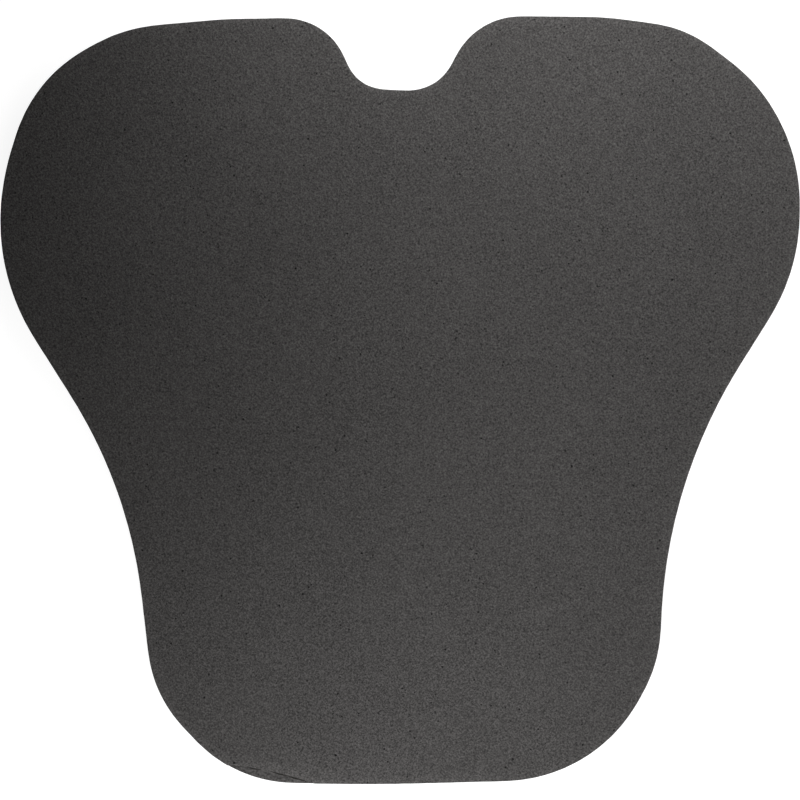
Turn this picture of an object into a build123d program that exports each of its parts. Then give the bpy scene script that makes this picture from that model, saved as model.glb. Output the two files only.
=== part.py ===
"""Back protector insert for a riding jacket: a flat, bonded laminate of closed-cell foam.

Three foam plies of different density lie one on another, with a thin adhesive film between
each two, and one steel-rule die cuts the whole stack to the outline of the upper back.

The pad lies on its inner face. +Z is its thickness, with the outer face up, +Y points to the
neck and +X to the wearer's right. The origin is the middle of the underside. Millimetres.
"""

import os

from build123d import *

# --- Driving dimensions ---------------------------------------------------------------------

COMFORT_PLY = 2.0  # soft ply, next to the wearer
CORE_PLY = 6.3  # impact-absorbing ply
FACE_PLY = 1.5  # dense, fine-celled ply that spreads the load
BOND_FILM = 0.1  # each of the two adhesive films

# The die's outline, clockwise from the neck notch: x, y and radius of each corner. It is drawn
# by hand, so the left half is not quite the mirror image of the right one.
RIGHT_HALF = [
    (20.0, 154.0, 24),  # floor of the neck notch
    (36.5, 192.3, 36),  # lip of the notch
    (103.5, 191.5, 150),  # top edge, beginning to fall away
    (143.0, 186.0, 60),  # top of the shoulder
    (180.5, 157.5, 85),  # shoulder
    (200.0, 119.5, 90),  # outer shoulder
    (199.5, 64.5, 100),  # turn into the flank
    (133.0, -41.5, 260),  # hollow of the flank
    (130.0, -131.0, 70),  # below the waist
    (98.0, -189.5, 78),  # bottom corner
]
BOTTOM = [(-10.0, -192.3, 900)]  # slight bow of the bottom edge
LEFT_HALF = [
    (-82.0, -191.5, 68),  # bottom corner
    (-123.5, -148.0, 65),  # below the waist
    (-135.5, -44.0, 240),  # hollow of the flank
    (-206.0, 67.5, 110),  # turn into the flank
    (-196.0, 119.5, 110),  # outer shoulder
    (-183.0, 160.5, 74),  # shoulder
    (-138.5, 186.0, 80),  # top of the shoulder
    (-88.0, 190.5, 125),  # top edge, beginning to fall away
    (-35.0, 191.5, 32),  # lip of the notch
    (-22.0, 156.0, 20),  # floor of the neck notch
]

# The face sheet ran out just short of the die at the bottom left, so there the face ply ends
# on the sheet's own hand-cut edge, an arc through these points, and a sliver of core shows.
SHEET_EDGE_START = (-96.0, -182.0)
SHEET_EDGE_MIDDLE = (-62.0, -186.3)
SHEET_EDGE_END = (-36.0, -194.6)
OFFCUT_LOW = -220.0  # well below the outline

# --- Heights of the layers, from the underside up -------------------------------------------

INNER_FILM_LOW = COMFORT_PLY
CORE_LOW = INNER_FILM_LOW + BOND_FILM
OUTER_FILM_LOW = CORE_LOW + CORE_PLY
FACE_LOW = OUTER_FILM_LOW + BOND_FILM

# --- Profiles -------------------------------------------------------------------------------

corners = RIGHT_HALF + BOTTOM + LEFT_HALF

# Full outline of the die
with BuildSketch() as die_outline:
    with BuildLine():
        FilletPolyline(
            [(x, y) for x, y, _ in corners],
            radius=[radius for _, _, radius in corners],
            close=True,
        )
    make_face()

# Outline of the face ply, which stops short at the bottom left
with BuildSketch() as face_outline:
    add(die_outline.sketch)
    with BuildLine():
        ThreePointArc(SHEET_EDGE_START, SHEET_EDGE_MIDDLE, SHEET_EDGE_END)
        Polyline(
            SHEET_EDGE_END,
            (SHEET_EDGE_END[0], OFFCUT_LOW),
            (SHEET_EDGE_START[0], OFFCUT_LOW),
            SHEET_EDGE_START,
        )
    make_face(mode=Mode.SUBTRACT)

# --- Plies and films ------------------------------------------------------------------------

# Soft comfort ply, the underside of the pad
with BuildPart() as inner_comfort_ply:
    with BuildSketch(Plane.XY):
        add(die_outline.sketch)
    extrude(amount=COMFORT_PLY)
inner_comfort_ply.part.label = "inner_comfort_ply"

# Adhesive film between the comfort ply and the core
with BuildPart() as inner_bond_film:
    with BuildSketch(Plane.XY.offset(INNER_FILM_LOW)):
        add(die_outline.sketch)
    extrude(amount=BOND_FILM)
inner_bond_film.part.label = "inner_bond_film"

# Thick core ply that takes up the impact
with BuildPart() as core_ply:
    with BuildSketch(Plane.XY.offset(CORE_LOW)):
        add(die_outline.sketch)
    extrude(amount=CORE_PLY)
core_ply.part.label = "core_ply"

# Adhesive film between the core and the face ply, put on the face sheet before it is laid
with BuildPart() as outer_bond_film:
    with BuildSketch(Plane.XY.offset(OUTER_FILM_LOW)):
        add(face_outline.sketch)
    extrude(amount=BOND_FILM)
outer_bond_film.part.label = "outer_bond_film"

# Dense face ply, the side that is seen
with BuildPart() as outer_face_ply:
    with BuildSketch(Plane.XY.offset(FACE_LOW)):
        add(face_outline.sketch)
    extrude(amount=FACE_PLY)
outer_face_ply.part.label = "outer_face_ply"

# --- Output ---------------------------------------------------------------------------------

os.makedirs("parts", exist_ok=True)
for piece in (inner_comfort_ply, inner_bond_film, core_ply, outer_bond_film, outer_face_ply):
    export_step(piece.part, f"parts/{piece.part.label}.step")
    print(piece.part.label, piece.part.bounding_box())
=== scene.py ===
# %% [markdown]
# # A foam back protector, sheet by sheet
#
# The real pad slides into the back pocket of a riding jacket. It is three sheets of
# closed-cell foam, glued one on another and punched out in one stroke with a steel-rule die.
# Nothing on it moves. What makes it look real is small: the cells that the knife opened, the
# rim that the die pressed down, a cut wall that draws in, and light that dies away to one side.
#
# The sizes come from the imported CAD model, so the first step is to load it. Everything is in
# metres, and +Z is the pad's thickness, with the outer face up.

# %% Load the frame
import math

import bpy
import numpy as np
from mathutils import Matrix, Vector, noise
from mathutils.geometry import delaunay_2d_cdt


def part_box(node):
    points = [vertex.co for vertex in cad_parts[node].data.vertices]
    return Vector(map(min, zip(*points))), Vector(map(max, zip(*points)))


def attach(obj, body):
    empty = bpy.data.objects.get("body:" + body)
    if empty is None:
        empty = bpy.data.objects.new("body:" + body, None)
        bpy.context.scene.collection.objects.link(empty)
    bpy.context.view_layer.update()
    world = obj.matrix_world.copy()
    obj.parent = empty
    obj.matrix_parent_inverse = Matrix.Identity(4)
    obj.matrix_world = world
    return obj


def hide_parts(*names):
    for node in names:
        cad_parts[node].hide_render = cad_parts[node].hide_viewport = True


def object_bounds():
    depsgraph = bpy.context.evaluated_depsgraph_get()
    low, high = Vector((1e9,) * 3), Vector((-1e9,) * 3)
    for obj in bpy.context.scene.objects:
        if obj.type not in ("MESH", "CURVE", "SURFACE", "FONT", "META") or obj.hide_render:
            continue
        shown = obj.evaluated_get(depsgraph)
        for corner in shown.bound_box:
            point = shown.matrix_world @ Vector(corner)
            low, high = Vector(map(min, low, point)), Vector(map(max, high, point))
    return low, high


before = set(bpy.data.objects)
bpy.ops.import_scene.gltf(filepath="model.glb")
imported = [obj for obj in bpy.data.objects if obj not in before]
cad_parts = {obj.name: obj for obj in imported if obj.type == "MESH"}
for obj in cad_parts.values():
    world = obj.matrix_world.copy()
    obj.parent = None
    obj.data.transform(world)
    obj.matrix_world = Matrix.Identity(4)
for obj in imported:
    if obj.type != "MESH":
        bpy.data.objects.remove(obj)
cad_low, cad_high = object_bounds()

MM = 0.001
print("pad, mm:", [round(side / MM, 1) for side in cad_high - cad_low])

# %% [markdown]
# ## Camera
#
# The pad is looked at from straight above, and it fills the view from side to side. A long
# lens far away keeps the pad's ten millimetres of depth from showing round the edges. An
# orthographic camera would also do that, but it can't be swung down to the level of the table
# without its lower rays starting under the floor.

# %% The camera, straight above the outer face
LENS, SENSOR = 85, 36  # in millimetres, as Blender takes them
VIEW_MARGIN = 1.001  # the view is hardly wider than the pad

view_width = VIEW_MARGIN * (cad_high.x - cad_low.x)
camera_height = cad_high.z + view_width * LENS / SENSOR
camera = bpy.data.objects.new("camera", bpy.data.cameras.new("camera"))
camera.data.lens, camera.data.sensor_width = LENS, SENSOR
camera.location = (0, 0, camera_height)
bpy.context.collection.objects.link(camera)
bpy.context.scene.camera = camera
print("camera height, m:", round(camera_height, 3))

# %% [markdown]
# ## Helpers for node trees
#
# Materials and geometry trees are both built here by code. Three small helpers keep that
# readable: one adds a node and fills or links its inputs, one does arithmetic, and one maps a
# value smoothly from one range to another.

# %% Node helpers


def add(tree, kind, inputs=None, **settings):
    """A new node with its settings made and its inputs filled in or linked."""
    made = tree.nodes.new(kind)
    for name, value in settings.items():
        setattr(made, name, value)
    for key, value in (inputs or {}).items():
        if isinstance(value, bpy.types.NodeSocket):
            tree.links.new(value, made.inputs[key])
        else:
            made.inputs[key].default_value = value
    return made


def calc(tree, operation, *values, clamp=False):
    """The result of one arithmetic node."""
    inputs = dict(enumerate(values))
    return add(tree, "ShaderNodeMath", inputs, operation=operation, use_clamp=clamp).outputs[0]


def ramp(tree, value, low, high, to_low=0.0, to_high=1.0):
    """Value between low and high, mapped smoothly to the range to_low to to_high."""
    inputs = {0: value, 1: low, 2: high, 3: to_low, 4: to_high}
    made = add(tree, "ShaderNodeMapRange", inputs, interpolation_type="SMOOTHSTEP")
    return made.outputs[0]


# %% [markdown]
# ## The table and the light
#
# The pad lies on a plain pale table. The light is that of a small product studio, with two long
# strip lamps hung low over the right half, so that the left shoulder falls into half shade. One
# lamp beyond the top edge catches the pressed rim, and one beyond the bottom edge fills in the
# lower left. The sky adds hardly any light, but the camera sees it white, and the table glows
# white too once it is away from the pad, so it has no horizon. Near the pad it glows less,
# which leaves room for a soft contact shadow.

# %% Floor, sky and lamps
FLOOR_SIZE = 16.0
GLOW_NEAR, GLOW_FAR = 0.9, 1.0  # the table's own light beside the pad and far from it
GLOW_FROM, GLOW_TO = 0.25, 0.7  # distances between which the one becomes the other
SKY_LIGHT, SKY_SEEN = 0.03, 1.0
WHITE = (1, 1, 1, 1)
TABLE_GREY = (0.35, 0.35, 0.35, 1)


def plain_floor():
    """A pale table top, far larger than any view of the pad, that glows almost white."""
    bpy.ops.mesh.primitive_plane_add(size=FLOOR_SIZE)
    floor = bpy.context.object
    floor.name = "table"
    paint = bpy.data.materials.new("pale_table")
    paint.use_nodes = True
    tree = paint.node_tree
    shader = tree.nodes["Principled BSDF"]
    shader.inputs["Base Color"].default_value = TABLE_GREY
    shader.inputs["Roughness"].default_value = 0.9
    shader.inputs["Specular IOR Level"].default_value = 0.1
    shader.inputs["Emission Color"].default_value = WHITE
    where = add(tree, "ShaderNodeTexCoord").outputs["Object"]
    reach = add(tree, "ShaderNodeVectorMath", {0: where}, operation="LENGTH").outputs["Value"]
    glow = ramp(tree, reach, GLOW_FROM, GLOW_TO, GLOW_NEAR, GLOW_FAR)
    tree.links.new(glow, shader.inputs["Emission Strength"])
    floor.data.materials.append(paint)


def studio_sky():
    """A dim even sky for the light, seen as white by the camera."""
    world = bpy.data.worlds.new("studio")
    bpy.context.scene.world = world
    world.use_nodes = True
    tree = world.node_tree
    seen = add(tree, "ShaderNodeLightPath").outputs["Is Camera Ray"]
    strength = ramp(tree, seen, 0.0, 1.0, SKY_LIGHT, SKY_SEEN)
    tree.links.new(strength, tree.nodes["Background"].inputs["Strength"])
    tree.nodes["Background"].inputs["Color"].default_value = WHITE


def soft_box(name, place, target, size, power):
    """A rectangular lamp at a place, turned to a target; the camera doesn't see it."""
    lamp = bpy.data.objects.new(name, bpy.data.lights.new(name, "AREA"))
    lamp.data.shape = "RECTANGLE"
    lamp.data.size, lamp.data.size_y = size
    lamp.data.energy = power
    lamp.location = place
    lamp.rotation_euler = (Vector(target) - Vector(place)).to_track_quat("-Z", "Y").to_euler()
    lamp.visible_camera = False
    bpy.context.collection.objects.link(lamp)


plain_floor()
studio_sky()
LAMPS = {  # place, target, size in metres, watts
    "right_strip": ((0.3, 0.0, 0.2), (0.3, 0.0, 0.0), (0.15, 0.8), 0.742),
    "middle_strip": ((0.05, 0.0, 0.2), (0.05, 0.0, 0.0), (0.15, 0.8), 0.585),
    "top_strip": ((0.085, 0.23, 0.1), (0.085, 0.1, 0.0), (0.42, 0.15), 0.33),
    "low_left_box": ((-0.055, -0.3, 0.24), (-0.055, -0.3, 0.0), (0.25, 0.25), 0.73),
}
for lamp_name, lamp_facts in LAMPS.items():
    soft_box(lamp_name, *lamp_facts)
bpy.context.scene.view_settings.view_transform = "Standard"

# %% [markdown]
# ## The outline that the die cut
#
# The CAD model holds the outline exactly, but its mesh follows the curves with short flat
# facets. So the loop round the core ply's top is read from the mesh, divided into short even
# steps, and relaxed a little along its length. A running average over a few millimetres is
# enough: it takes the facets away, and it moves the line by a quarter of a millimetre at the
# corners of the notch and by far less elsewhere.

# %% Read and smooth the outline
STEP = 1.5 * MM  # between two points of the outline
RELAX = 3.0 * MM  # the width of the running average's bell, from its middle to its shoulder
LEVEL_WITHIN = 0.001 * MM  # heights nearer than this are the same


def cap_loop(node):
    """Corners of a flat CAD node's top face, anticlockwise, as rows of x and y."""
    mesh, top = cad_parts[node].data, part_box(node)[1].z
    edges = set()  # of the top face; an edge between two triangles cancels out
    for face in mesh.polygons:
        corners = [mesh.vertices[i].co for i in face.vertices]
        if min(c.z for c in corners) < top - LEVEL_WITHIN:
            continue
        keys = [(round(c.x, 7), round(c.y, 7)) for c in corners]
        for here, there in zip(keys, keys[1:] + keys[:1]):
            if (there, here) in edges:
                edges.remove((there, here))
            else:
                edges.add((here, there))
    follower = dict(edges)
    loop = [min(follower)]
    while follower[loop[-1]] != loop[0]:
        loop.append(follower[loop[-1]])
    return np.array(loop)


def even_steps(corners, step):
    """Points at even steps round a closed loop."""
    closed = np.vstack([corners, corners[:1]])
    along = np.append(0, np.linalg.norm(np.diff(closed, axis=0), axis=1).cumsum())
    at = np.linspace(0, along[-1], round(along[-1] / step), endpoint=False)
    return np.column_stack([np.interp(at, along, closed[:, i]) for i in (0, 1)])


def relaxed(loop, reach, step):
    """The loop after a running average with a bell-shaped weight."""
    shifts = np.arange(-round(3 * reach / step), round(3 * reach / step) + 1)
    weights = np.exp(-0.5 * (shifts * step / reach) ** 2)
    weights /= weights.sum()
    return sum(w * np.roll(loop, s, axis=0) for w, s in zip(weights, shifts))


def outward(loop):
    """Unit vectors that point out of a closed anticlockwise loop."""
    along = np.roll(loop, -1, axis=0) - np.roll(loop, 1, axis=0)
    along /= np.linalg.norm(along, axis=1)[:, None]
    return np.column_stack([along[:, 1], -along[:, 0]])


cad_loop = cap_loop("core_ply")
die_loop = relaxed(even_steps(cad_loop, STEP), RELAX, STEP)
print("outline:", len(cad_loop), "CAD corners,", len(die_loop), "smooth points")

# %% [markdown]
# The face sheet was a little too small for the die, so at one corner the face ply ends on the
# sheet's own hand-cut edge and a sliver of the core shows. Everywhere else the two are flush.
# The face ply's loop is therefore the die's loop, with the points that fall outside the CAD
# face ply pulled back to its edge. A quick test of a point against a polygon counts how many
# sides a ray crosses.

# %% The face ply's own outline
FLUSH = 0.25 * MM  # smaller gaps than this are only facets


def inside(points, polygon):
    """For each point, whether it lies inside a closed polygon."""
    x, y = points[:, :1], points[:, 1:]
    x0, y0 = polygon.T
    x1, y1 = np.roll(polygon, -1, axis=0).T
    crosses = (y0 > y) != (y1 > y)
    rise = np.where(y1 == y0, 1, y1 - y0)
    return (crosses & (x < x0 + (x1 - x0) * (y - y0) / rise)).sum(axis=1) % 2 == 1


def nearest(points, others):
    """For each point, the nearest of the others and how far it is."""
    gaps = np.linalg.norm(points[:, None] - others[None], axis=2)
    return others[gaps.argmin(axis=1)], gaps.min(axis=1)


sheet_loop = even_steps(cap_loop("outer_face_ply"), STEP / 10)
on_sheet, gap = nearest(die_loop, sheet_loop)
short = ~inside(die_loop, sheet_loop) & (gap > FLUSH)
face_loop = np.where(short[:, None], on_sheet, die_loop)
print("the face ply is short at", short.sum(), "points, by up to", round(gap.max() / MM, 1), "mm")

# %% [markdown]
# ## How the pad lies
#
# Foam sheet is never dead flat. This pad keeps a trace of the roll that it came off, so the
# tips of its shoulders stand a millimetre off the table and its middle waves by a fraction of
# that. All five layers are glued, so one function of x and y lifts them all alike.

# %% Lift of the whole laminate
TIP_LIFT = 1.2 * MM  # at the ends of the shoulders
SLOW_WAVE, WAVE_LENGTH = 0.35 * MM, 110 * MM
NECK_SHARE = 0.6  # how much the way to the neck counts, against the way to a shoulder
tip_start, tip_end = 0.45 * cad_high.x, cad_high.x


def lift(x, y):
    """How far the laminate stands off the table at a point."""
    reach = max(0.0, (math.hypot(x, NECK_SHARE * max(y, 0.0)) - tip_start) / (tip_end - tip_start))
    shoulder = TIP_LIFT * min(reach, 1.0) ** 2 * (1 if y > 0 else max(0.0, 1 + y / tip_end))
    wave = noise.noise(Vector((x, y, 0.31)) / WAVE_LENGTH)
    return shoulder + SLOW_WAVE * max(0.0, wave)


print("lift at the right shoulder, mm:", round(lift(cad_high.x, 0.08) / MM, 2))

# %% [markdown]
# ## One sheet of foam
#
# Each ply is a closed mesh made of rings. A ring is the outline moved in by some inset, at
# some height, and the rings climb the cut wall from the bottom edge to the top one. The two
# flat sides are filled with an even triangle net, so that they can carry a gentle relief.
# The net of an underside is wide, because nothing but the lift bends it.
# Extruding a filled curve would be quicker, but it gives long thin triangles that no relief
# can bend.

# %% Rings, nets and the closed mesh
UNDER_NET = 10 * MM  # the undersides are plain, so their nets are wide
EDGE_ROOM = 0.6  # of a net's spacing, between the net and the outline


def net_points(loop, spacing):
    """Points of an even triangular net that lie well inside the loop."""
    low, high = loop.min(axis=0), loop.max(axis=0)
    rows = np.arange(low[1], high[1], spacing * math.sqrt(3) / 2)
    columns = np.arange(low[0], high[0], spacing)
    points = [(x + spacing / 2 * (i % 2), y) for i, y in enumerate(rows) for x in columns]
    points = np.array(points)
    points = points[inside(points, loop)]
    return points[nearest(points, loop)[1] > EDGE_ROOM * spacing]


def fill(loop, extra):
    """Triangles that fill a loop, using extra points inside it, as indices of both together."""
    points = [Vector(p) for p in np.vstack([loop, extra])]
    found = delaunay_2d_cdt(points, [], [list(range(len(loop)))], 1, 1e-9)
    source = [origin[0] for origin in found[3]]
    return [[source[i] for i in face] for face in found[2]]


def sheet_mesh(name, loop, rows, spacing, upper=None, extra=None):
    """A closed sheet: rings given as (inset per point, height), filled below and above."""
    normals, count = outward(loop), len(loop)
    rings = [loop - normals * np.reshape(inset, (-1, 1)) for inset, _ in rows]
    points = [np.column_stack([ring, np.full(count, z)]) for ring, (_, z) in zip(rings, rows)]
    faces = []
    for level in range(len(rows) - 1):
        low, high = level * count, (level + 1) * count
        for i in range(count):
            j = (i + 1) % count
            faces.append([low + i, low + j, high + j, high + i])
    used = len(rows) * count
    for ring, level, flip in ((rings[0], 0, True), (rings[-1], len(rows) - 1, False)):
        inner = net_points(ring, UNDER_NET if flip else spacing)
        if extra is not None and not flip:
            inner = np.vstack([inner, extra])
        heights = [rows[level][1]] * len(inner)
        if upper and not flip:
            heights = [rows[level][1] + upper(*p) for p in inner]
        points.append(np.column_stack([inner, heights]))
        index = list(range(level * count, (level + 1) * count))
        index += list(range(used, used + len(inner)))
        used += len(inner)
        for face in fill(ring, inner):
            corners = [index[i] for i in face]
            faces.append(corners[::-1] if flip else corners)
    points = np.vstack(points)
    points[:, 2] += [lift(x, y) for x, y, _ in points]
    mesh = bpy.data.meshes.new(name)
    mesh.from_pydata(points.tolist(), [], faces)
    mesh.validate()
    return mesh


# %% [markdown]
# ## Finish of the foam
#
# The foam was split from a thick block, so its whole face is cells cut open, each a shallow
# bowl under a millimetre wide. Seen from half a metre that is a fine grain, in which every
# bowl is a little lighter or darker than the next. A Voronoi pattern gives just that: one
# random shade for each cell, and a distance from its centre that serves as the bowl's depth.
# The same distance also paints shade into the colour, darker in each bowl's middle and paler
# at its walls.
# Random shades alone look like sand, with blotches of every size. Real foam is more even than
# that, because its cells pushed each other apart as they grew, so a noise in lumps of about a
# cell and a half carries most of the grain. A finer noise breaks up the edges of the cells, and
# a slow one gives the faint clouds of the block. The patterns are tilted, because such a noise
# fades wherever a face runs level with its lattice, and a pad that lifts a little would show
# bands.

# %% Foam material
GREY = (1.0, 0.955, 0.935)  # the foam's tint, very slightly warm
BLOCK_TILT = (0.9, 0.5, 0.3)  # so that the face cuts the noise's lattice at a slant
SHADE_WEIGHT = 0.3  # how much each cell's own shade counts in the grain
KNOT_WEIGHT, KNOTS_PER_CELL = 1.0, 0.68
EDGE_WEIGHT, EDGES_PER_CELL = 0.2, 2.2
CLOUD_WEIGHT, CLOUDS_PER_METRE = 0.12, 18
MEAN_OF_PARTS = (SHADE_WEIGHT + KNOT_WEIGHT + EDGE_WEIGHT + CLOUD_WEIGHT) / 2
BOWL_SHADE = (0.05, 0.6, 0.76, 1.18)  # painted shade in each bowl, from its middle to its edge: distances, then brightness
HOLLOW_SHADE = (0.04 * MM, 0.4 * MM, 1.0, 0.25)  # painted shade going down an open cell: depths, then brightness
RIM_HIGHLIGHT_GAIN = 0.24  # how much paler the painted highlight makes the pressed rim
ROUGH = (0.96, 0.84)  # of the dark and of the pale parts of the grain
RELIEF, RELIEF_STRENGTH = 0.25 * MM, 0.6  # of the grain, which is too fine for a mesh
EDGE_RELIEF = 0.35  # how much the fine edges count in it, against the bowls


def tinted(level):
    """The foam's colour at a given lightness."""
    return (*(level * part for part in GREY), 1)


def mixed(tree, share, first, second):
    """A colour between two others."""
    inputs = {0: share, 6: first, 7: second}
    return add(tree, "ShaderNodeMix", inputs, data_type="RGBA").outputs[2]


def speckle(tree, where, scale, octaves):
    """Noise between 0 and 1, in lumps of one over the scale."""
    inputs = {"Vector": where, "Scale": scale, "Detail": octaves}
    return add(tree, "ShaderNodeTexNoise", inputs).outputs[0]


def stroke(tree, where, centre, size, angle):
    """A soft mark: 1 along its middle, falling to 0 at its outline."""
    placed = add(
        tree,
        "ShaderNodeMapping",
        {"Vector": where, "Location": (*centre, 0), "Rotation": (0, 0, math.radians(angle)),
         "Scale": (size[0] / 2, size[1] / 2, 1)},
        vector_type="TEXTURE",
    )
    flat = add(tree, "ShaderNodeVectorMath", {0: placed.outputs[0], 1: (1, 1, 0)},
               operation="MULTIPLY")
    reach = add(tree, "ShaderNodeVectorMath", {0: flat.outputs[0]}, operation="LENGTH")
    return ramp(tree, reach.outputs["Value"], 0.0, 1.0, 1.0, 0.0)


def foam(name, cell, dark, light, marks_and_painted_light=()):
    """Closed-cell foam, cut open: cell size in metres, and the two shades of its grain."""
    material = bpy.data.materials.new(name)
    material.use_nodes = True
    tree = material.node_tree
    shader = tree.nodes["Principled BSDF"]
    where = add(tree, "ShaderNodeTexCoord").outputs["Object"]
    tilted = add(tree, "ShaderNodeMapping", {"Vector": where, "Rotation": BLOCK_TILT}).outputs[0]
    cells = add(tree, "ShaderNodeTexVoronoi", {"Vector": tilted, "Scale": 1 / cell})
    shade = add(tree, "ShaderNodeSeparateColor", {"Color": cells.outputs["Color"]}).outputs[0]
    knots = speckle(tree, tilted, KNOTS_PER_CELL / cell, 0)
    edges = speckle(tree, tilted, EDGES_PER_CELL / cell, 2)
    clouds = speckle(tree, where, CLOUDS_PER_METRE, 3)
    grain = calc(tree, "MULTIPLY_ADD", shade, SHADE_WEIGHT, 0.5 - MEAN_OF_PARTS)
    for part, weight in ((knots, KNOT_WEIGHT), (edges, EDGE_WEIGHT), (clouds, CLOUD_WEIGHT)):
        grain = calc(tree, "MULTIPLY_ADD", part, weight, grain)
    colour = mixed(tree, grain, tinted(dark), tinted(light))
    depth = add(tree, "ShaderNodeAttribute", attribute_name="cell_depth").outputs["Fac"]
    rim_highlight = add(tree, "ShaderNodeAttribute", attribute_name="rim_highlight").outputs["Fac"]
    # Painted shade down the open cells, darker the deeper they go.
    bright = ramp(tree, depth, *HOLLOW_SHADE)
    # A painted highlight along the pressed rim.
    bright = calc(tree, "MULTIPLY", bright, calc(tree, "MULTIPLY_ADD", rim_highlight, RIM_HIGHLIGHT_GAIN, 1.0))
    # Painted shade in each bowl's middle, paler at its walls where they catch the light.
    bowl = cells.outputs["Distance"]
    bright = calc(tree, "MULTIPLY", bright, ramp(tree, bowl, *BOWL_SHADE))
    # Marks of wear, and strokes of painted light and shade.
    for centre, size, angle, gain in marks_and_painted_light:
        mark = stroke(tree, where, centre, size, angle)
        bright = calc(tree, "MULTIPLY", bright, calc(tree, "MULTIPLY_ADD", mark, gain, 1.0))
    colour = add(tree, "ShaderNodeVectorMath", {0: colour, "Scale": bright}, operation="SCALE")
    tree.links.new(colour.outputs[0], shader.inputs["Base Color"])
    tree.links.new(ramp(tree, grain, 0.0, 1.0, *ROUGH), shader.inputs["Roughness"])
    shader.inputs["Specular IOR Level"].default_value = 0.3
    height = calc(tree, "MULTIPLY_ADD", edges, EDGE_RELIEF, bowl)
    relief = {"Height": height, "Strength": RELIEF_STRENGTH, "Distance": RELIEF}
    bump = add(tree, "ShaderNodeBump", relief)
    tree.links.new(bump.outputs[0], shader.inputs["Normal"])
    return material


# %% [markdown]
# The face has a few marks from handling: a pale scuff low on the right, a faint upright
# streak above it, and two creases where the sheet was once bent, the lower one with a paler
# band beside it. A soft stroke only changes the lightness of the colour. The creases are also
# real grooves, made later in the mesh. Three strokes are painted light and shade: painted
# shade along the lower crease, a painted pool of light along the bottom edge, and the painted
# shade of a burst cell on the left shoulder.

# %% The three foams and the adhesive
FACE_MARKS_AND_PAINTED_LIGHT = [  # centre, length and width, turn in degrees, gain in brightness
    ((78 * MM, -103.5 * MM), (66 * MM, 4.6 * MM), 13, 0.17),
    ((105 * MM, -5 * MM), (36 * MM, 5 * MM), 90, 0.07),
    ((39.5 * MM, -184 * MM), (18 * MM, 4 * MM), 90, 0.14),
    # painted shade along the lower crease
    ((37.5 * MM, -181 * MM), (22 * MM, 2.4 * MM), 90, -0.22),
    ((183.2 * MM, 85 * MM), (116 * MM, 1.8 * MM), 90, 0.10),
    # painted light: a paler pool along the bottom edge
    ((-55 * MM, -192 * MM), (130 * MM, 40 * MM), 0, 0.18),
    # painted shade: a burst cell on the left shoulder
    ((-188 * MM, 90 * MM), (2.6 * MM, 1.8 * MM), 20, -0.6),
]
face_foam = foam("face_foam", 0.58 * MM, 0.011, 0.079, FACE_MARKS_AND_PAINTED_LIGHT)
core_foam = foam("core_foam", 0.8 * MM, 0.016, 0.092)
comfort_foam = foam("comfort_foam", 0.5 * MM, 0.010, 0.062)
GLUE_DARK, GLUE_PALE = (0.005, 0.0045, 0.004, 1), (0.02, 0.018, 0.015, 1)


def adhesive():
    """Thin smoky film, a little less matt than foam where it shows in the cut."""
    material = bpy.data.materials.new("adhesive_film")
    material.use_nodes = True
    tree = material.node_tree
    shader = tree.nodes["Principled BSDF"]
    where = add(tree, "ShaderNodeTexCoord").outputs["Object"]
    smear = speckle(tree, where, 400, 4)
    tree.links.new(mixed(tree, smear, GLUE_DARK, GLUE_PALE), shader.inputs["Base Color"])
    tree.links.new(ramp(tree, smear, 0.3, 0.7, 0.6, 0.8), shader.inputs["Roughness"])
    shader.inputs["Specular IOR Level"].default_value = 0.15
    relief = {"Height": smear, "Strength": 0.4, "Distance": 0.05 * MM}
    bump = add(tree, "ShaderNodeBump", relief)
    tree.links.new(bump.outputs[0], shader.inputs["Normal"])
    return material


adhesive_film = adhesive()

# %% [markdown]
# ## Open cells
#
# Here and there the knife opened a cell that is deeper than the rest and up to twice as wide,
# and those show as dark pin-holes. They are real hollows, and there are nearly two thousand,
# all much alike, so they are work for Geometry Nodes. The tree scatters points over the sheet,
# puts a small faceted ball on each, sunk a little below the surface so that the hole is narrower
# than the hollow, and takes the balls away from the sheet. The depth of every new point below
# the old surface is stored, because the colour is darkened down there, a painted shade in the
# hollows.

# %% The tree that opens the cells
SMALL_ONES = 2.0  # the power that makes small cells commoner than large ones
OVAL = (0.8, 1.15)  # the least and the most that a ball is stretched along an axis
SINK = 0.35  # how deep a ball's middle lies, in radii


def random_number(tree, low, high, seed):
    """A random number for each point or instance."""
    made = add(tree, "FunctionNodeRandomValue", {2: low, 3: high, "Seed": seed})
    return made.outputs[1]


def random_vector(tree, low, high, seed):
    """A random vector for each point or instance."""
    made = add(tree, "FunctionNodeRandomValue", {0: low, 1: high, "Seed": seed},
               data_type="FLOAT_VECTOR")
    return made.outputs[0]


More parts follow.
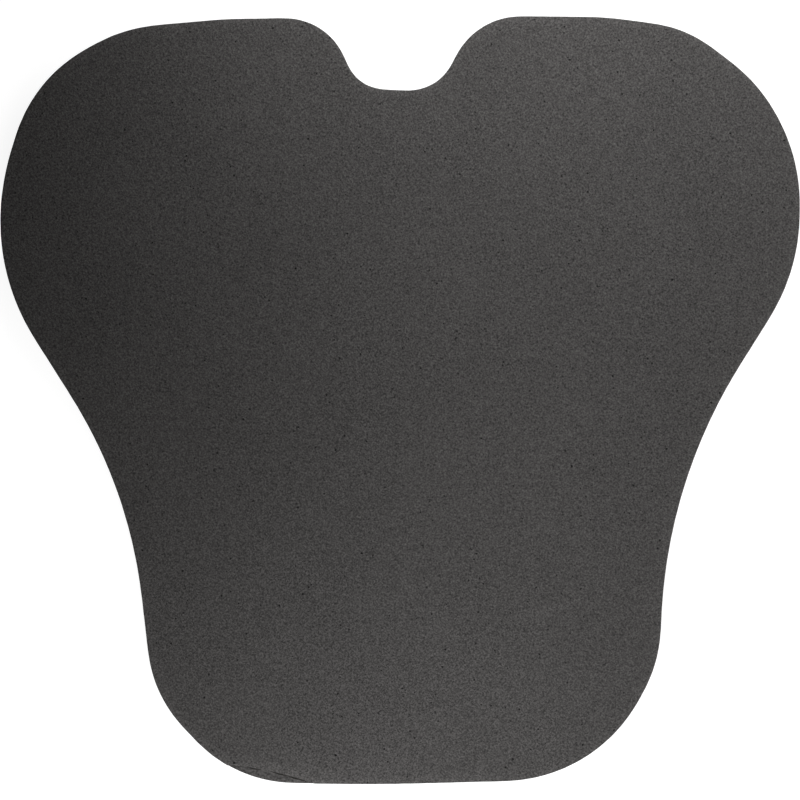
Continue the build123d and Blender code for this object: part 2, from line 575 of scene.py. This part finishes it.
def open_cells_tree():
    """Scatters hollows over a sheet where its cell_share attribute allows them."""
    tree = bpy.data.node_groups.new("open_cells", "GeometryNodeTree")
    tree.is_modifier = True
    sockets = {
        "Sheet": "NodeSocketGeometry",
        "Per Square Metre": "NodeSocketFloat",
        "Spacing": "NodeSocketFloat",
        "Smallest": "NodeSocketFloat",
        "Spread": "NodeSocketFloat",
        "Seed": "NodeSocketInt",
        "Material": "NodeSocketMaterial",
    }
    for name, kind in sockets.items():
        tree.interface.new_socket(name, in_out="INPUT", socket_type=kind)
    tree.interface.new_socket("Sheet", in_out="OUTPUT", socket_type="NodeSocketGeometry")
    given = add(tree, "NodeGroupInput").outputs
    share = add(tree, "GeometryNodeInputNamedAttribute", {"Name": "cell_share"})
    scatter = add(
        tree,
        "GeometryNodeDistributePointsOnFaces",
        {"Mesh": given["Sheet"], "Distance Min": given["Spacing"],
         "Density Max": given["Per Square Metre"], "Density Factor": share.outputs["Attribute"],
         "Seed": given["Seed"]},
        distribute_method="POISSON",
    )
    chance = calc(tree, "POWER", random_number(tree, 0.0, 1.0, 3), SMALL_ONES)
    radius = calc(tree, "MULTIPLY_ADD", chance, given["Spread"], given["Smallest"])
    oval = add(
        tree,
        "ShaderNodeVectorMath",
        {0: random_vector(tree, OVAL[:1] * 3, OVAL[1:] * 3, 5), "Scale": radius},
        operation="SCALE",
    )
    sink = add(
        tree,
        "ShaderNodeVectorMath",
        {0: scatter.outputs["Normal"], "Scale": calc(tree, "MULTIPLY", radius, -SINK)},
        operation="SCALE",
    )
    sunk = add(tree, "GeometryNodeSetPosition",
               {"Geometry": scatter.outputs["Points"], "Offset": sink.outputs[0]})
    ball = add(tree, "GeometryNodeMeshUVSphere", {"Segments": 8, "Rings": 6, "Radius": 1.0})
    turn = random_vector(tree, (0, 0, 0), (math.tau, math.tau, math.tau), 7)
    balls = add(
        tree,
        "GeometryNodeInstanceOnPoints",
        {"Points": sunk.outputs[0], "Instance": ball.outputs["Mesh"], "Rotation": turn,
         "Scale": oval.outputs[0]},
    )
    solid_balls = add(tree, "GeometryNodeRealizeInstances", {0: balls.outputs[0]})
    cut = add(
        tree,
        "GeometryNodeMeshBoolean",
        {"Mesh 1": given["Sheet"], "Mesh 2": solid_balls.outputs[0]},
        operation="DIFFERENCE",
        solver="MANIFOLD",
    )
    depth = add(tree, "GeometryNodeProximity", {0: given["Sheet"]}, target_element="FACES")
    stored = add(
        tree,
        "GeometryNodeStoreNamedAttribute",
        {"Geometry": cut.outputs["Mesh"], "Name": "cell_depth",
         "Value": depth.outputs["Distance"]},
        data_type="FLOAT",
        domain="POINT",
    )
    whole = add(tree, "GeometryNodeRealizeInstances", {0: stored.outputs[0]})
    painted = add(tree, "GeometryNodeSetMaterial",
                  {"Geometry": whole.outputs[0], "Material": given["Material"]})
    result = add(tree, "NodeGroupOutput")
    tree.links.new(painted.outputs[0], result.inputs[0])
    return tree


open_cells = open_cells_tree()
print("open cells tree:", len(open_cells.nodes), "nodes")

# %% [markdown]
# The tree goes on a sheet as a modifier. Its inputs are set by their identifiers before the
# sheet is first evaluated, the result is taken as a plain mesh, and the modifier goes.

# %% Put the cells into a sheet
SMOOTH_UNDER = math.radians(35)


def with_cells(mesh, material, **values):
    """An object with the sheet's mesh after the open cells are cut into it."""
    piece = bpy.data.objects.new(mesh.name, mesh)
    bpy.context.collection.objects.link(piece)
    modifier = piece.modifiers.new("open_cells", "NODES")
    modifier.node_group = open_cells
    values["Material"] = material
    for item in open_cells.interface.items_tree:
        if item.in_out == "INPUT" and item.name in values:
            modifier[item.identifier] = values[item.name]
    graph = bpy.context.evaluated_depsgraph_get()
    plain = bpy.data.meshes.new_from_object(piece.evaluated_get(graph))
    piece.modifiers.clear()
    piece.data = plain
    plain.name = mesh.name
    plain.shade_smooth()
    plain.set_sharp_from_angle(angle=SMOOTH_UNDER)
    print(piece.name, "faces:", len(plain.polygons))
    return piece


def mark_points(mesh, name, values):
    """Stores one number for each point of a mesh."""
    attribute = mesh.attributes.new(name, "FLOAT", "POINT")
    attribute.data.foreach_set("value", np.asarray(values, np.float32))


def flat_places(mesh):
    """Where a sheet's points were before the lift: rows of x and y, and heights."""
    places = np.array([v.co[:2] for v in mesh.vertices])
    heights = np.array([v.co.z for v in mesh.vertices])
    return places, heights - [lift(x, y) for x, y in places]


# %% [markdown]
# ## The cut wall
#
# A die squeezes foam before it parts it, and the foam springs back behind the blade. So the
# wall isn't upright: it draws in at half height, and each ply rounds off a little beside the
# glue line, where the film held it. The blade also leaves a faint ripple.

# %% Insets of the wall
WAIST = 0.45 * MM  # how far the wall draws in at half height
WAIST_REACH = 0.86  # the part of the thickness that draws in
PLY_ROUND = 0.28 * MM  # how far each ply rounds off at its edges
ROUND_POWER = 8  # the higher, the closer to its edges a ply stays straight
RIPPLE, RIPPLES_ALONG, RIPPLES_UP = 0.07 * MM, 260, 420  # depth, and ripples per metre
WALL_LEVELS = (0.0, 0.06, 0.16, 0.34, 0.5, 0.66, 0.84, 0.94, 1.0)
half_height = (cad_high.z - cad_low.z) / 2


def ripple(loop, z):
    """The blade's ripple at one height, one number for each point of the loop."""
    places = [Vector((x * RIPPLES_ALONG, y * RIPPLES_ALONG, z * RIPPLES_UP)) for x, y in loop]
    return np.array([RIPPLE * noise.noise(place) for place in places])


def wall_rows(loop, low, high, levels=WALL_LEVELS, rounded=(1, 1)):
    """Rings up the cut wall from one height to another, rounded off below and above."""
    rows = []
    for level in levels:
        z = low + level * (high - low)
        offset = (z - half_height) / (WAIST_REACH * half_height)
        waist = WAIST * max(0.0, 1 - offset**2)
        below, above = (1 - level) ** ROUND_POWER, level**ROUND_POWER
        rounding = PLY_ROUND * (rounded[0] * below + rounded[1] * above)
        rows.append((waist + rounding + ripple(loop, z), z))
    return rows


# %% [markdown]
# ## Face ply
#
# This is the side that is seen. The die pressed its rim down as it went in: over the last two
# millimetres the face rolls off, and that catches the light as a paler line all round. A painted
# highlight adds to that line: the colour is made paler over the last five millimetres all round.

# %% Build the face ply
RIM_MM = [  # across the rolled-off rim: way in from the wall, and drop below the face
    (0.0, 0.62),
    (0.06, 0.42),
    (0.2, 0.26),
    (0.5, 0.15),
    (0.95, 0.07),
    (1.5, 0.02),
    (2.1, 0.0),
]
RIM_HIGHLIGHT_REACH, RIM_HIGHLIGHT_POWER = 5.0 * MM, 1.5  # how far in the painted highlight on the pressed rim reaches, and how it fades
CREASES = [  # start, end, depth
    ((183.5 * MM, 140 * MM), (183.0 * MM, 25 * MM), 0.10 * MM),
    ((37.5 * MM, -176 * MM), (37.8 * MM, -188.5 * MM), 0.16 * MM),
]
CREASE_WIDTH = 0.9 * MM
CREASE_STEP, CREASE_SIDE_STEP = 2 * MM, 0.6 * MM  # between net points along and across it
FACE_WAVE, FACE_WAVE_LENGTH = 0.1 * MM, 45 * MM
FACE_LEVELS = (0.0, 0.1, 0.25, 0.5, 0.8, 1.0)
FACE_SHARE = 0.45  # large cells on the face, against 1 on the cut wall
RIM_TOP = 0.7 * MM  # what is nearer to the face than this isn't wall
GLUED = 0.2 * MM  # no cells are opened nearer to an edge of the wall than this
NET = 3.2 * MM


def along_crease(x, y, start, end):
    """Distance from a crease's line, and how far along it a point is, from 0 to 1."""
    start, end, point = Vector(start), Vector(end), Vector((x, y))
    run = end - start
    share = min(max((point - start).dot(run) / run.length_squared, 0.0), 1.0)
    return (point - start - share * run).length, share


def face_relief(x, y):
    """Height of the face above its own plane: slow waves and the two creases."""
    height = FACE_WAVE * noise.noise(Vector((x, y, 0.7)) / FACE_WAVE_LENGTH)
    for start, end, depth in CREASES:
        gap, share = along_crease(x, y, start, end)
        height -= depth * math.exp(-((gap / CREASE_WIDTH) ** 2)) * math.sin(math.pi * share) ** 0.5
    return height


def crease_points():
    """Extra net points along the creases, close enough to form their grooves."""
    points = []
    for start, end, _ in CREASES:
        start, end = np.array(start), np.array(end)
        run = end - start
        length = np.linalg.norm(run)
        side = np.array([-run[1], run[0]]) / length * CREASE_SIDE_STEP
        for share in np.linspace(0, 1, round(length / CREASE_STEP) + 1):
            points += [start + share * run + side * k for k in range(-3, 4)]
    return np.array(points)


face_low, face_high = (corner.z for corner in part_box("outer_face_ply"))
rim_drop = RIM_MM[0][1] * MM
rows = wall_rows(face_loop, face_low, face_high - rim_drop, FACE_LEVELS, (1, 0))
edge = rows[-1][0]
rows = rows[:-1] + [(edge + inset * MM, face_high - drop * MM) for inset, drop in RIM_MM]
mesh = sheet_mesh("face_ply", face_loop, rows, NET, face_relief, crease_points())
places, heights = flat_places(mesh)
edge_gap = nearest(places, face_loop)[1]
# How strongly the painted highlight along the rim shows at each point.
mark_points(mesh, "rim_highlight", np.clip(1 - edge_gap / RIM_HIGHLIGHT_REACH, 0, 1) ** RIM_HIGHLIGHT_POWER)
share = np.where(heights > face_high - RIM_TOP, FACE_SHARE, 1.0)
share[heights < face_low + GLUED] = 0.0
mark_points(mesh, "cell_share", share)
CELLS = {"Per Square Metre": 30000.0, "Spacing": 1.5 * MM, "Smallest": 0.24 * MM,
         "Spread": 0.36 * MM, "Seed": 11}
face_ply = with_cells(mesh, face_foam, **CELLS)

# %% [markdown]
# ## Core and comfort plies
#
# The core is the thick one. Only its wall shows, and a sliver of its top at the corner where
# the face ply ends early. The comfort ply lies next to the wearer and is made of the finest
# cells. Both get open cells on their wall only, because their faces are glued or lie on the
# table.

# %% Build the core ply
HIDDEN_NET = 6 * MM  # for the faces that nobody sees

core_low, core_high = (corner.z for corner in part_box("core_ply"))
covered = 1.0 - np.minimum(1, nearest(die_loop, die_loop[short])[1] < STEP)
rows = wall_rows(die_loop, core_low, core_high)
rows = [(inset * covered, z) for inset, z in rows]
mesh = sheet_mesh("core_ply_foam", die_loop, rows, HIDDEN_NET)
_, heights = flat_places(mesh)
on_wall = (heights > core_low + GLUED) & (heights < core_high - GLUED)
mark_points(mesh, "cell_share", np.where(on_wall, 1.0, 0.0))
core_ply = with_cells(mesh, core_foam, **{**CELLS, "Seed": 23})

# %% Build the comfort ply
comfort_low, comfort_high = (corner.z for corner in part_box("inner_comfort_ply"))
rows = wall_rows(die_loop, comfort_low, comfort_high)
mesh = sheet_mesh("comfort_ply", die_loop, rows, HIDDEN_NET)
_, heights = flat_places(mesh)
closest = GLUED / 2  # its cells are finer
on_wall = (heights > comfort_low + closest) & (heights < comfort_high - closest)
mark_points(mesh, "cell_share", np.where(on_wall, 1.0, 0.0))
comfort_ply = with_cells(mesh, comfort_foam, **{**CELLS, "Smallest": 0.16 * MM, "Seed": 37})

# %% [markdown]
# ## Glue lines
#
# Between the plies the adhesive is a tenth of a millimetre thick. In the cut it shows as a
# thin dark line, set back a little, because the foam on both sides springs out past it. Where
# the face ply ends early nothing cut the glue, so it squeezed out past the sheet's edge.

# %% Build the two films
FILM_SET_BACK = 0.12 * MM
FILM_NET = 12 * MM
SQUEEZED = 1.2 * MM  # how far the glue came out from under the face ply's own edge
SQUEEZE_MEAN, SQUEEZE_SWING, SQUEEZE_WAVE = 0.6, 0.7, 5 * MM  # it came out unevenly


def film(name, node, loop):
    """One adhesive film, from the CAD film's heights."""
    low, high = (corner.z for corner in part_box(node))
    rows = wall_rows(loop, low, high, (0.0, 1.0))
    rows = [(inset + FILM_SET_BACK - PLY_ROUND, z) for inset, z in rows]
    mesh = sheet_mesh(name, loop, rows, FILM_NET)
    mesh.materials.append(adhesive_film)
    piece = bpy.data.objects.new(name, mesh)
    bpy.context.collection.objects.link(piece)
    print(name, "faces:", len(mesh.polygons))
    return piece


waves = [[noise.noise(Vector((x, y, 0)) / SQUEEZE_WAVE)] for x, y in face_loop]
reach = SQUEEZED * (SQUEEZE_MEAN + SQUEEZE_SWING * np.array(waves))
to_die = die_loop - face_loop
room = np.linalg.norm(to_die, axis=1)[:, None]
glue_loop = face_loop + to_die * np.minimum(1, reach / np.maximum(room, SQUEEZED))
outer_film = film("outer_glue_line", "outer_bond_film", glue_loop)
inner_film = film("inner_glue_line", "inner_bond_film", die_loop)

# %% [markdown]
# ## The pieces and their body
#
# Each piece stands for one CAD node and rides on the pad's only body, and the CAD node is
# hidden. The three foam plies are full and tight, because foam has no slack.

STANDS_FOR = {
    face_ply: ("outer_face_ply", "face_foam"),
    outer_film: ("outer_bond_film", "bond_film"),
    core_ply: ("core_ply", "core_foam"),
    inner_film: ("inner_bond_film", "bond_film"),
    comfort_ply: ("inner_comfort_ply", "comfort_foam"),
}
for piece, (node, slot) in STANDS_FOR.items():
    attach(piece, "root")
    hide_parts(node)
